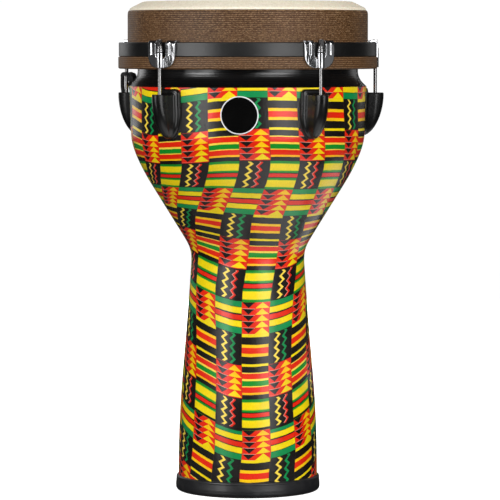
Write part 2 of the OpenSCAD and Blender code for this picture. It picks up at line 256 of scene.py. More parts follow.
# how the cloth lies: where the strips run (arc of one strip edge and strip width
# by height) and how far the rows are pulled down round the drum
T_AT = [(0, -42.8), (30, -41.9), (60, -37.3), (90, -36.7), (120, -35.8), (150, -35.4), (180, -36), (207, -36.5), (238,
        -38.3), (259, -38.3), (280, -35.5), (301, -32.6), (317, -31.2), (326, -30.5), (339, -29), (353, -25.9), (362,
        -21.7), (374, -16.1), (385, -11.2), (393, -8), (400, -5.6), (411, -1.9), (430, -0), (450, -0.9), (475, -2),
        (500, -2.5), (520, -2.6)]
W_AT = [(0, 37.8), (43, 37.2), (80, 35.9), (110, 34.7), (140, 34), (167, 33.6), (200, 34.3), (239, 35.7), (260, 37.1),
        (290, 37.8), (320, 38.6), (350, 38.9), (380, 38.5), (410, 38.5), (440, 38.4), (470, 37.9), (500, 37.4), (520,
        37.1)]
OFF_PHI = (-74, -62, -50, -40, -30, -20, -10, 0, 10, 20, 30, 40, 50, 62, 74)
OFF_AT = [(506, (90, 96.6, 104, 103.1, 101.7, 97.7, 94.4, 93.6, 93.5, 93.8, 95.2, 95.8, 96.1, 97.2, 97.6)),
          (490, (90.2, 96.5, 102.8, 101.4, 101.5, 98, 94.1, 93.6, 93.6, 93.2, 94.2, 94.9, 95.7, 97, 97.5)),
          (474, (90.3, 96.4, 103.8, 102.4, 100.7, 97.7, 93.7, 93, 93.1, 92.8, 93.8, 94.7, 95.3, 96.6, 97.2)),
          (455, (92.7, 97.6, 103.5, 101.3, 99.3, 96.6, 92.7, 91.6, 91.9, 91.7, 93.3, 94.5, 94.2, 95.7, 96.6)),
          (438, (93.2, 96.1, 101.3, 99.8, 98.3, 95.7, 91.8, 90.9, 91.3, 90.7, 92.3, 93.6, 92.9, 94.4, 95.8)),
          (424, (94.1, 95.6, 99.6, 98.2, 97.2, 95.1, 91.6, 91, 91.4, 90.7, 91.9, 93.1, 92.4, 93.2, 95.1)),
          (407, (95.3, 94.8, 96, 95.5, 95, 93.4, 91.2, 91.3, 91.7, 91.3, 92.2, 93, 92.7, 93, 94.4)),
          (390, (88.8, 89.1, 90.8, 91.1, 90.9, 90.1, 89.8, 90.5, 91.4, 91.8, 92.9, 93.6, 93.4, 93.3, 93.9)),
          (373, (80.4, 81.9, 84.5, 85.7, 86.4, 86.9, 87.9, 89.2, 90.5, 91.8, 93, 93.6, 93.3, 92.9, 92.8)),
          (357, (72.3, 75, 78.8, 80.7, 82.4, 84.3, 86.5, 88.5, 89.9, 91.4, 92.5, 92.8, 92.3, 91.4, 90.5)),
          (338, (67.1, 70.5, 74.2, 76.6, 79.4, 82.7, 86.2, 88.4, 89.4, 90.5, 91.3, 91.6, 90.6, 88.5, 87)),
          (320, (64.5, 68.1, 71.5, 74.7, 78.2, 81.9, 85.6, 87.5, 88.2, 88.9, 89.6, 89.8, 88.8, 85.7, 82.7)),
          (305, (63.3, 67.4, 71, 74.4, 78.1, 82.1, 85.6, 86.9, 87.2, 87.6, 88, 88.3, 87.4, 83.6, 79.6)),
          (290, (62.4, 67.2, 71.4, 74.8, 78.4, 82.5, 85.8, 86.8, 86.9, 87.1, 87.1, 87.1, 85.7, 81.2, 76.6)),
          (270, (61.5, 67, 71.7, 75.1, 78.8, 83, 85.9, 86.6, 87.1, 87.2, 86.8, 85.7, 83, 77.9, 73)),
          (250, (59.8, 66, 71.1, 74.9, 78.8, 82.8, 85.7, 86.8, 87.2, 87, 86, 83.9, 80.6, 75.2, 69.9)),
          (230, (55.8, 63, 69.2, 73.6, 78, 82.1, 85.5, 87, 87.3, 86.8, 85.3, 82.5, 78.6, 73.1, 67.1)),
          (210, (51.3, 59.6, 67.2, 72, 76.7, 81.6, 85.2, 86.9, 87.4, 86.7, 85, 81.8, 77.3, 71.2, 64.5)),
          (187, (52.1, 60.3, 66.1, 70.5, 75.5, 81.5, 85.8, 87, 87.2, 86.6, 85, 81.5, 76.2, 69.5, 62.3)),
          (165, (49.6, 58.5, 64.5, 68.9, 74.3, 80.6, 85.3, 86.8, 87, 86.1, 84.2, 80.4, 74.8, 67.8, 60.6)),
          (148, (48.9, 58.1, 63.9, 68.2, 73.6, 80.2, 85.2, 86.5, 86.5, 85.6, 83.8, 80.2, 74.5, 67.3, 60)),
          (132, (48, 57.6, 63, 68.3, 74, 80.5, 85.3, 86.6, 86.4, 85.6, 83.8, 80.3, 74.8, 67.8, 60.3)),
          (113, (45, 55.1, 62.1, 67.9, 74, 80.8, 85.7, 87.2, 87.3, 86.3, 84, 79.9, 74.3, 67.5, 59.9)),
          (95, (42.2, 52.4, 59.9, 66.1, 72.4, 78.9, 84.1, 86.8, 87.3, 85.7, 82.7, 78.2, 72.7, 66.5, 58.9)),
          (75, (39.9, 50.4, 58.5, 64.6, 70.4, 76.4, 81.5, 84.5, 84.9, 83.2, 80.2, 76, 71.1, 65, 57.5)),
          (55, (39.4, 49.9, 57.7, 63.9, 69.8, 75.9, 80.7, 83.3, 83.7, 82.2, 79.5, 75.6, 70.6, 64.1, 56.6)),
          (38, (41.7, 51.5, 57.2, 63.2, 69.8, 76.5, 81.1, 82.7, 83.1, 81.9, 79.6, 75.8, 70.2, 63.6, 56))]


def soften(z, y, width):
    """y sampled at z, smoothed over width."""
    zz = np.linspace(-20, 560, 1161)
    yy = np.interp(zz, z, y)
    k = np.exp(-0.5 * (np.arange(-60, 61) * 0.5 / width) ** 2)
    pad = np.pad(yy, 60, mode="edge")
    return zz, np.convolve(pad, k / k.sum(), mode="valid")


def raised(z):
    """The tables' heights, brought to the profile's."""
    return z + 1.6 * (1 - ((z - 311) / 311) ** 2)


def lie_tables():
    ta = np.array(T_AT, float)
    wa = np.array(W_AT, float)
    T = soften(raised(ta[:, 0]), ta[:, 1], 5)
    W = soften(raised(wa[:, 0]), wa[:, 1], 12)
    ang = np.arange(-180, 180, 3.0)
    k = np.exp(-0.5 * (np.arange(-10, 11) * 3 / 4.0) ** 2)
    k /= k.sum()
    # a tilted ring at each height, and what the cloth does besides
    rows = []
    rad = np.radians(ang)
    for z, samples in sorted(OFF_AT):
        a, y = np.array(OFF_PHI, float), np.array(samples, float)
        M = np.c_[np.ones(len(a)), np.cos(np.radians(a)), np.sin(np.radians(a))]
        C = np.linalg.solve(M.T @ M + np.diag([0, 0.004, 0.004]), M.T @ y)
        rest = y - M @ C
        line = np.interp(ang, np.r_[a[0] - 35, a, a[-1] + 35], np.r_[0, rest, 0])
        line = np.convolve(np.pad(line, 10, mode="wrap"), k, mode="valid")
        rows.append(line + C[0] + C[1] * np.cos(rad) + C[2] * np.sin(rad))
    rows = np.array(rows)
    zs = raised(np.array(sorted(z for z, _ in OFF_AT), float))
    off = np.array([soften(zs, rows[:, i], 6)[1] for i in range(len(ang))])
    return T, W, off


def kente(phi, r, z, s_down):
    """Strip number and place down the cloth of a point, phi round from the badge's side."""
    T, W, off = lie_tables()
    t, w = np.interp(z, *T), np.interp(z, *W)
    c = (phi * r - t) / w - 1
    fa = (np.degrees(phi) + 180) / 3 % 120
    fz = np.clip((z + 20) * 2, 0, 1159)
    ia, iz = fa.astype(int) % 120, fz.astype(int)
    ua, uz = fa - np.floor(fa), fz - iz
    ib = (ia + 1) % 120
    o = (off[ia, iz] * (1 - ua) + off[ib, iz] * ua) * (1 - uz) + (off[ia, iz + 1] * (1 - ua) + off[ib, iz + 1] * ua) * uz
    return c, s_down - o


def build_cloth():
    out = side(0)
    inn = side(0.8, 0.2)[::-1]
    # closed round the section: up the outside, over a soft top edge, down the inside
    top = np.array([[150.86, 515.68], [150.7, 515.8], [150.45, 515.8], [150.22, 515.65]])
    inn = inn[1:]
    section = np.vstack([out, top, inn, [[88.0, 4.9], [88.5, 4.85]]])
    n_out = len(out)
    step = np.hypot(*np.diff(out, axis=0).T)
    along = np.r_[0, np.cumsum(step)]
    s_down_out = along[-1] - along
    sz = np.interp(section[:, 1], out[:, 1], s_down_out)
    nphi = 361
    lap = math.radians(180 - 7.5)
    phi = np.linspace(-math.pi, math.pi, nphi)
    extra = [lap - 0.0008, lap, lap + 0.0015, lap + 0.004]
    phi = np.sort(np.r_[phi, extra])
    PH, K = np.meshgrid(phi, np.arange(len(section)), indexing="ij")
    R, Z = section[K, 0], section[K, 1]
    # the last few degrees lap over the start, one cloth thickness higher
    rise = np.clip((PH - lap) / 0.0035, 0, 1)
    outside = (K < n_out)
    R = R + np.where(outside & (Z > 21), 0.28 * rise, 0)
    co = np.stack([R * np.sin(PH), -R * np.cos(PH), Z], -1) / 1000
    o, faces = grid_object("wrap_cloth", co)
    c, v = kente(PH.ravel(), section[K.ravel(), 0], Z.ravel(), sz[K.ravel()])
    set_uv(o, "Kente", faces, np.c_[c, v])
    vv = np.where(outside, sz[K] / sz[0] * 0.94 + 0.05, 0.0 + 0.045 * (1 - sz[K] / sz.max()))
    set_uv(o, "OFBake", faces, np.c_[((PH + math.pi) / (2 * math.pi)).ravel() * 0.998 + 0.001, 1 - vv.ravel()])
    # join the two ends of the sheet where they meet at the back
    bm = bmesh.new()
    bm.from_mesh(o.data)
    bmesh.ops.remove_doubles(bm, verts=bm.verts, dist=1e-7)
    bm.to_mesh(o.data)
    bm.free()
    return o


CK, CR, CY, CO = lin(17, 14, 12), lin(222, 35, 3), lin(237, 210, 2), lin(246, 182, 6)
CG, CL, CC, CW = lin(3, 134, 70), lin(150, 190, 24), lin(244, 212, 70), lin(216, 168, 150)
CN, CA = lin(246, 194, 6), lin(12, 134, 34)
STRIP_A = [(0, CA), (2.6, CL), (3.3, CY), (12.1, CL), (12.9, CA), (15.8, CK), (16.6, CR), (22.0, CK), (22.9, CA), (25.6, CL),
           (26.3, CY), (35.6, CL), (36.4, CA), (39.5, CR), (79.4, CY), (83.0, CK), (92.4, CN), (96.4, CR),
           (104.0, CN), (108.1, CK), (117.2, CY), (120.6, CK), (128.3, CC), (129.5, CR), (136.6, CC), (138.6, CA),
           (145.3, CC), (146.8, CR), (153.2, CO), (156.2, CK)]
STRIP_B = [(0, CK), (39.0, CG), (45.6, CK), (46.8, CY), (54.2, CK), (56.0, CR), (62.6, CK), (63.9, CY), (71.0, CK), (72.1, CG),
           (79.7, CK), (119.6, CR), (160.4, CK)]


def cloth_material():
    g = Graph("strip_cloth", Coat_Weight=0.78, Coat_Roughness=0.12, Coat_IOR=1.5, IOR=1.2)
    c, v = g.uv("Kente")
    _, _, _, P = g.obj()
    wob = g.noise(P, 95.0, 2.0, 0.55, colour=True)
    n = g.t.nodes.new("ShaderNodeSeparateColor")
    g.t.links.new(wob.s, n.inputs[0])
    wx, wy = Val(g, n.outputs[0]), Val(g, n.outputs[1])
    c = c + (wx - 0.5) * 0.03
    v = v + (wy - 0.5) * 1.0
    cf = g.math("FLOOR", c)
    u = c - cf
    odd = g.math("FLOORED_MODULO", cf, 2.0)
    pf = g.math("FLOOR", v / PERIOD)
    vv = v - pf * PERIOD
    t = vv / PERIOD
    A = g.ramp(t, [(a / PERIOD, col) for a, col in STRIP_A], "CONSTANT")
    B = g.ramp(t, [(a / PERIOD, col) for a, col in STRIP_B], "CONSTANT")
    # in the second run of the foot some bands are darker
    second = g.math("COMPARE", pf, 2.0, 0.1)
    A = g.mix(second * (vv > 36.2) * (vv < 39.5), A, CK)
    B = g.mix(second * (vv > 38.0) * (vv < 41.6), B, CK)
    base = g.mix(odd, A, B)

    # triangle blocks: row t0 long in A, row t1 in B
    start = g.math("MULTIPLY_ADD", odd, 119.9 - 39.9, 39.9)
    b = vv - start
    pitch = 7.95
    row = g.math("FLOOR", b / pitch)
    tt = b - row * pitch
    inside = (b > 0.0) * (b < 39.95)
    x = u
    half_k = (1.0 - (tt - 0.4) / 6.9) * 0.22
    black = (g.math("ABSOLUTE", x - 0.237) < half_k) * inside * (tt > (row > 0.5) * 0.45)
    half_y = (tt / 7.4) * 0.245
    yel = (g.math("ABSOLUTE", x - 0.73) < half_y) * inside * (tt < 7.5 + (row > 3.5) * 0.5)
    edge = (tt < 0.5) * (x > 0.01) * (x < 0.47) * inside * (row > 0.5)
    yc = g.mix(g.smooth(row, 1.0, 4.2), CO, CY)
    yc = g.mix(g.smooth(tt, 1.0, 7.0) * 0.5, yc, CY)
    base = g.mix(black, base, CK)
    base = g.mix(yel, base, yc)
    base = g.mix(edge * 0.85, base, CW)

    # zigzags on the black panels of B
    in1 = odd * (vv > 0.6) * (vv < 37.6)
    in3 = odd * (vv > 80.6) * (vv < 118.6)
    panel = g.math("MAXIMUM", in1, in3)
    z1 = (g.math("PINGPONG", vv + 1.6, 5.05) / 5.05 - 0.5) * 0.155
    d1 = g.math("ABSOLUTE", x - 0.335 - z1)
    zig1 = (d1 < 0.053) * panel
    z2 = (g.math("PINGPONG", vv + 3.2, 5.05) / 5.05 - 0.5) * 0.135
    d2 = x - 0.655 - z2
    zig2 = (g.math("ABSOLUTE", d2) < 0.05) * panel
    # painted highlight: a pale pinkish line along the left edge of the red zigzag on the first black panel
    zig_painted_highlight = (d2 < -0.026) * zig2 * in1
    second_col = g.mix(in3, CR, CG)
    base = g.mix(zig1, base, CC)
    base = g.mix(zig2, base, second_col)
    base = g.mix(zig_painted_highlight * 0.8, base, CW)
    # hairline where two strips are sewn together
    seam = g.math("MINIMUM", u, 1.0 - u)
    base = g.mix((seam < 0.012) * 0.3, base, lin(60, 44, 34))

    # dye variation, weave and lacquer
    streak = g.noise(g.vec(c * 95.0, v * 0.22, 0.0), 1.0, 2.0, 0.6)
    blot = g.noise(P, 28.0, 3.0, 0.6)
    shade = g.smooth(streak, 0.25, 0.75, 0.86, 1.08) * g.smooth(blot, 0.3, 0.7, 0.93, 1.05)
    col = g.mix(1.0, base, g.vec(shade, shade, shade), "MULTIPLY")
    col = g.mix(g.smooth(streak, 0.58, 0.9, 0.0, 0.10), col, lin(150, 140, 130))
    g.to("Base Color", col)
    warp = g.math("SINE", c * (36.0 / 0.9 * 2 * math.pi))
    weft = g.math("SINE", v * (2 * math.pi / 0.9))
    weave = g.math("MAXIMUM", warp * g.math("SIGN", weft), weft * 0.7)
    g.to("Roughness", g.smooth(blot, 0.3, 0.7, 0.3, 0.4))
    bump = g.bump(weave * 0.5 + streak * 1.3, 0.00016, 0.5)
    bump = g.bump(g.noise(P, 160.0, 2.0, 0.5), 0.0003, 0.25, bump)
    g.to("Normal", bump)
    ribs = g.noise(g.vec(c * 24.0, v * 0.12, 3.0), 1.0, 2.0, 0.6)
    grit = g.noise(P, 620.0, 2.0, 0.6)
    cb = g.bump(ribs * 1.1 + grit * 0.9 + g.noise(P, 45.0, 2.0) * 0.8, 0.0004, 0.45)
    g.to("Coat Normal", cb)
    return g.mat


# ---------------------------------------------------------------- other materials
def black_lacquer():
    g = Graph("black_shell", Coat_Weight=0.5, Coat_Roughness=0.25, IOR=1.45)
    a, r, z = g.cyl()
    _, _, _, P = g.obj()
    # outside above the cloth is glossy; the inside is bare laminated fibre
    geo = g.t.nodes.new("ShaderNodeNewGeometry")
    s = g.t.nodes.new("ShaderNodeSeparateXYZ")
    g.t.links.new(geo.outputs["Normal"], s.inputs[0])
    nx, ny = Val(g, s.outputs[0]), Val(g, s.outputs[1])
    px, py, _, _ = g.obj()
    facing = (nx * px + ny * py) / r
    inner = g.smooth(facing, -0.45, -0.1, 1.0, 0.0)
    low = g.smooth(z, 0.5151, 0.5157, 1.0, 0.0)
    bare = g.math("MAXIMUM", inner, low)
    fibre = g.noise(g.vec(a * 22.0, z * 60.0, r * 60.0), 3.0, 5.0, 0.65, 0.6)
    spots = g.noise(P, 130.0, 3.0, 0.6)
    black = g.mix(spots * 0.4, lin(8, 8, 9), lin(16, 16, 17))
    brown = g.ramp(fibre, [(0.3, lin(34, 28, 23)), (0.55, lin(58, 48, 40)), (0.75, lin(86, 74, 62))])
    g.to("Base Color", g.mix(bare, black, brown))
    g.to("Roughness", g.smooth(bare, 0.0, 1.0, 0.24, 0.62))
    g.to("Normal", g.bump(fibre * bare * 4.0 + spots * 0.12, 0.0006, 0.5))
    return g.mat


def woven_brown():
    g = Graph("woven_brown", IOR=1.33)
    a, r, z = g.cyl()
    _, _, _, P = g.obj()
    fine = g.noise(g.vec(a * 0.16 * 900.0, z * 1500.0, r * 700.0), 1.0, 2.0, 0.6)
    coarse = g.noise(g.vec(a * 0.16 * 420.0, z * 1000.0, r * 200.0), 1.0, 2.0, 0.65)
    wide = g.noise(P, 14.0, 2.0, 0.5)
    lines = g.math("SINE", z * (2 * math.pi / 0.0025) + coarse * 1.6)
    m = fine * 0.4 + coarse * 0.6 + lines * 0.08 - 0.012
    col = g.ramp(m, [(0.34, lin(34, 19, 6)), (0.45, lin(68, 43, 21)), (0.55, lin(92, 65, 38)), (0.66, lin(146, 117, 87))])
    col = g.mix(g.smooth(wide, 0.35, 0.7, 0.0, 0.2), col, lin(94, 64, 38))
    g.to("Base Color", col)
    g.to("Roughness", g.smooth(coarse, 0.3, 0.7, 0.40, 0.56))
    thread = g.math("SINE", z * (2 * math.pi / 0.0011)) * 0.5 + g.math("SINE", a * (0.16 / 0.0012 * 2 * math.pi)) * 0.3
    g.to("Normal", g.bump(m * 2.0 + thread * 0.4, 0.0003, 0.55))
    return g.mat


def skin_cream():
    g = Graph("film_cream", IOR=1.48, Subsurface_Weight=0.06, Subsurface_Scale=0.002)
    a, r, z = g.cyl()
    x, y, _, P = g.obj()
    cloudy = g.noise(P, 9.0, 4.0, 0.6)
    fibre = g.noise(g.vec(x * 90.0, y * 900.0, z * 500.0), 1.0, 3.0, 0.65)
    fibre2 = g.noise(g.vec(x * 760.0, y * 110.0, z * 500.0), 1.0, 3.0, 0.65)
    speck = g.noise(P, 900.0, 1.0, 0.5)
    m = (fibre + fibre2) * 0.5
    col = g.ramp(m, [(0.35, lin(206, 194, 170)), (0.5, lin(222, 213, 193)), (0.66, lin(235, 228, 212))])
    col = g.mix(g.smooth(cloudy, 0.4, 0.72, 0.0, 0.35), col, lin(222, 208, 180))
    # hands darken the middle a little
    worn = g.smooth(r, 0.03, 0.12, 0.18, 0.0)
    col = g.mix(worn * g.smooth(cloudy, 0.3, 0.6), col, lin(196, 180, 150))
    g.to("Base Color", col)
    g.to("Roughness", g.smooth(cloudy, 0.3, 0.7, 0.42, 0.55))
    g.to("Normal", g.bump(m + speck * 0.5, 0.00025, 0.5))
    return g.mat


def satin_black():
    g = Graph("satin_black", IOR=1.5, Coat_Weight=0.15, Coat_Roughness=0.3)
    _, _, _, P = g.obj()
    fine = g.noise(P, 1400.0, 2.0, 0.6)
    wide = g.noise(P, 20.0, 3.0, 0.6)
    g.to("Base Color", g.mix(fine * 0.5, lin(9, 9, 9), lin(17, 17, 17)))
    g.to("Roughness", g.smooth(wide, 0.3, 0.7, 0.34, 0.44))
    g.to("Normal", g.bump(fine, 0.00012, 0.6))
    return g.mat


def gloss_black(name="gloss_black_cast", rough=0.24, dip=0.35, tones=(10, 18)):
    g = Graph(name, IOR=1.36, Coat_Weight=0.3, Coat_Roughness=0.16)
    _, _, _, P = g.obj()
    peel = g.noise(P, 420.0, 2.0, 0.5)
    wide = g.noise(P, 35.0, 3.0, 0.6)
    g.to("Base Color", g.mix(wide * 0.5, lin(*[tones[0]] * 3), lin(*[tones[1]] * 3)))
    g.to("Roughness", g.smooth(wide, 0.3, 0.7, rough, rough + 0.09))
    b = g.bump(peel, 0.00018, dip)
    g.to("Normal", b)
    g.to("Coat Normal", b)
    return g.mat


def chrome(name="chrome_plate", tint=(198, 199, 202), rough=0.07):
    g = Graph(name, Metallic=1.0)
    _, _, _, P = g.obj()
    smudge = g.noise(P, 60.0, 4.0, 0.6)
    scratch = g.noise(P, 1600.0, 2.0, 0.5)
    x, y, z, _ = g.obj()
    lumps = g.noise(g.vec(x * 210.0, y * 210.0, z * 70.0), 1.0, 1.0, 0.5)
    g.to("Base Color", g.mix(smudge * 0.35, lin(*tint), lin(*[int(t * 0.86) for t in tint])))
    g.to("Roughness", g.smooth(smudge, 0.35, 0.75, rough + 0.05, rough + 0.12))
    g.to("Normal", g.bump(lumps + scratch * 0.01, 0.0006, 0.8))
    return g.mat


def badge_rim():
    g = Graph("badge_rim_plate", Metallic=0.35, IOR=1.5)
    _, _, _, P = g.obj()
    n = g.noise(P, 320.0, 3.0, 0.6)
    g.to("Base Color", g.mix(n, lin(246, 246, 248), lin(214, 214, 218)))
    g.to("Roughness", g.smooth(n, 0.3, 0.7, 0.3, 0.42))
    g.to("Normal", g.bump(n, 0.00005, 0.5))
    return g.mat


def rod_metal():
    g = Graph("rod_metal", Metallic=1.0)
    x, y, z, P = g.obj()
    smudge = g.noise(P, 80.0, 3.0, 0.6)
    g.to("Base Color", g.mix(smudge * 0.3, lin(156, 155, 155), lin(132, 130, 130)))
    g.to("Roughness", g.smooth(smudge, 0.3, 0.7, 0.2, 0.24))
    g.to("Normal", g.bump(smudge, 0.00002, 0.3))
    return g.mat


def plated(name, c0, c1, rough):
    g = Graph(name, Metallic=1.0)
    _, _, _, P = g.obj()
    n = g.noise(P, 240.0, 3.0, 0.6)
    g.to("Base Color", g.mix(n, lin(*c0), lin(*c1)))
    g.to("Roughness", g.smooth(n, 0.3, 0.7, rough, rough + 0.12))
    g.to("Normal", g.bump(n, 0.00008, 0.5))
    return g.mat


def rubber(name, c0, c1, rough=0.5, coat=0.0):
    g = Graph(name, IOR=1.5, Coat_Weight=coat, Coat_Roughness=0.3)
    a, r, z = g.cyl()
    _, _, _, P = g.obj()
    fine = g.noise(P, 900.0, 3.0, 0.6)
    wide = g.noise(P, 26.0, 4.0, 0.6)
    col = g.mix(fine, lin(*c0), lin(*c1))
    col = g.mix(g.smooth(wide, 0.5, 0.8, 0.0, 0.25), col, lin(92, 90, 86))
    # scuffed where it meets the ground
    col = g.mix(g.smooth(z, 0.0, 0.004, 0.3, 0.0) * g.smooth(fine, 0.4, 0.6), col, lin(110, 106, 100))
    g.to("Base Color", col)
    g.to("Roughness", g.smooth(wide, 0.3, 0.7, rough - 0.06, rough + 0.08))
    g.to("Normal", g.bump(fine, 0.0002, 0.5))
    return g.mat


def braid():
    g = Graph("braided_cord", IOR=1.4, Sheen_Weight=0.08, Sheen_Roughness=0.5)
    u, v = g.uv("Braid")
    _, _, _, P = g.obj()
    p1 = g.math("SINE", (u * 8.0 + v * 0.9) * (2 * math.pi))
    p2 = g.math("SINE", (u * 8.0 - v * 0.9) * (2 * math.pi))
    h = g.math("MAXIMUM", p1, p2)
    fuzz = g.noise(P, 1500.0, 2.0, 0.6)
    # painted shade and painted highlight: the braid's grooves are coloured darker and its crests lighter, following the
    # strands' height
    col = g.ramp(h * 0.5 + 0.5, [(0.35, lin(7, 7, 8)), (0.8, lin(20, 20, 22)), (1.0, lin(48, 48, 51))])
    g.to("Base Color", g.mix(fuzz * 0.4, col, lin(20, 20, 22)))
    g.to("Roughness", g.smooth(fuzz, 0.3, 0.7, 0.6, 0.78))
    g.to("Normal", g.bump(h + fuzz * 0.6, 0.0005, 0.8))
    return g.mat


def dress(node, mat):
    o = nodes[node]
    if not o.material_slots:
        o.data.materials.append(mat)
    for s in o.material_slots:
        s.material = mat


M = {
    "cloth": cloth_material(), "shell": black_lacquer(), "brown": woven_brown(), "cream": skin_cream(),
    "satin": satin_black(), "gloss": gloss_black(), "chrome": chrome(), "rod": rod_metal(),
    "zinc": plated("zinc_plate", (176, 176, 178), (140, 140, 142), 0.25),
    "brass": plated("plain_brass", (196, 164, 96), (150, 122, 66), 0.3),
    "nylon": rubber("black_nylon", (22, 22, 22), (34, 34, 34), 0.45),
    "ring": rubber("ring_rubber", (16, 16, 18), (29, 29, 31), 0.4, 0.12),
    "gasket": rubber("gasket_rubber", (16, 16, 16), (30, 30, 30), 0.7),
    "enamel": gloss_black("badge_enamel", 0.08, 0.06, (5, 9)), "rim": badge_rim(),
    "cord": braid(),
}
for n in ("shell_foot", "shell_bowl", "shell_rim"):
    dress(n, M["shell"])
dress("base_ring", M["ring"])
dress("head_skin", M["cream"])
dress("head_collar", M["brown"])
dress("flesh_hoop", M["brown"])
dress("tuning_hoop", M["satin"])
for n in NAMES:
    dress("claw_" + n, M["chrome"])
    dress("rod_" + n, M["rod"])
    dress("lug_" + n, M["gloss"])
dress("rod_washers", M["zinc"])
dress("rod_bushes", M["nylon"])
dress("lug_nuts", M["brass"])
dress("lug_gaskets", M["gasket"])
dress("lug_screws", M["zinc"])
dress("lug_screw_washers", M["zinc"])
dress("badge_disc", M["enamel"])
dress("badge_rim", M["rim"])

cloth = build_cloth()
cloth.data.materials.append(M["cloth"])
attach(cloth, "drum")
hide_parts("cloth_wrap")


# ---------------------------------------------------------------- lugs: one smooth casting each
BASE, TOP, PLATE_TOP, HALF_W, BOSS_W = 452.0, 507.0, 513.8, 17.6, 13.2
STEP = 0.25


def bowl_at(z):
    return 148.8 + (z - 459.2) * 2.1 / 56.2


def ball(h, rho, grow):
    """A height grid rolled over by a ball, from outside (grow) or from inside."""
    n = int(rho / STEP)
    out = np.full(h.shape, -1e3 if grow else 1e3)
    pad = np.pad(h, n, constant_values=-1e3)
    for i in range(-n, n + 1):
        for j in range(-n, n + 1):
            q = rho * rho - (i * i + j * j) * STEP * STEP
            if q < 0:
                continue
            part = pad[n + i:n + i + h.shape[0], n + j:n + j + h.shape[1]]
            out = np.maximum(out, part + math.sqrt(q)) if grow else np.minimum(out, part - math.sqrt(q))
    return out


def plate_width(z):
    low = HALF_W * np.sqrt(np.clip(1 - (np.clip(484 - z, 0, 32) / 32) ** 2, 0, 1))
    high = HALF_W - 7 + np.sqrt(np.clip(49 - np.clip(z - 506.8, 0, 7) ** 2, 0, 49))
    return np.where(z < 484, low, np.where(z > 506.8, high, HALF_W))


def lug_relief():
    """How far the casting stands from the drum's axis, on a grid of height and breadth."""
    zs = np.arange(BASE, PLATE_TOP + STEP / 2, STEP)
    ss = np.arange(-HALF_W, HALF_W + STEP / 2, STEP)
    Z, S = np.meshgrid(zs, ss, indexing="ij")
    plate = np.where(np.abs(S) <= plate_width(Z) + 1e-9, np.sqrt((bowl_at(Z) + 5.2) ** 2 - S * S), -1e3)
    # rounded over along its outline
    zo = np.r_[BASE + 32 * (1 - np.cos(np.linspace(0, math.pi / 2, 120))), np.linspace(484.2, 506.6, 90),
               506.8 + 7 * np.sin(np.linspace(0, math.pi / 2, 60))]
    wo = plate_width(zo)
    line = np.r_[np.c_[wo, zo], np.c_[-wo, zo], np.c_[np.linspace(-wo[-1], wo[-1], 60), np.full(60, PLATE_TOP)]]
    d = np.full(Z.shape, 9.0)
    for px, pz in line:
        d = np.minimum(d, np.hypot(S - px, Z - pz))
    plate = plate - (3.0 - np.sqrt(np.clip(9.0 - np.clip(3.0 - d, 0, 3) ** 2, 0, 9)))
    swell = np.where(Z >= 504, 1.0, np.clip(1 - (np.clip(504 - Z, 0, 52) / 52) ** 1.8, 0, 1) ** (1 / 1.8))
    hw = BOSS_W * np.sqrt(np.clip(1 - (np.clip(482 - Z, 0, 30) / 30) ** 2, 1e-6, 1))
    q = np.abs(S) * BOSS_W / hw
    nose = 166.7 + 13.2 * np.sqrt(np.clip(1 - (q / 9.5) ** 2, 0, 1))
    nose = np.where(q > 9.5, 166.7 - (q - 9.5) * (16.7 / 3.7), nose)
    boss = 152 + (nose - 152) * swell
    boss = np.where((q < BOSS_W) & (Z <= TOP + 1e-6), boss, -1e3)
    boss = ball(ball(boss, 1.25, False), 1.25, True)
    both = np.pad(np.maximum(plate, boss), 16, constant_values=-1e3)
    return zs, ss, ball(ball(both, 3.0, True), 3.0, False)[16:-16, 16:-16]


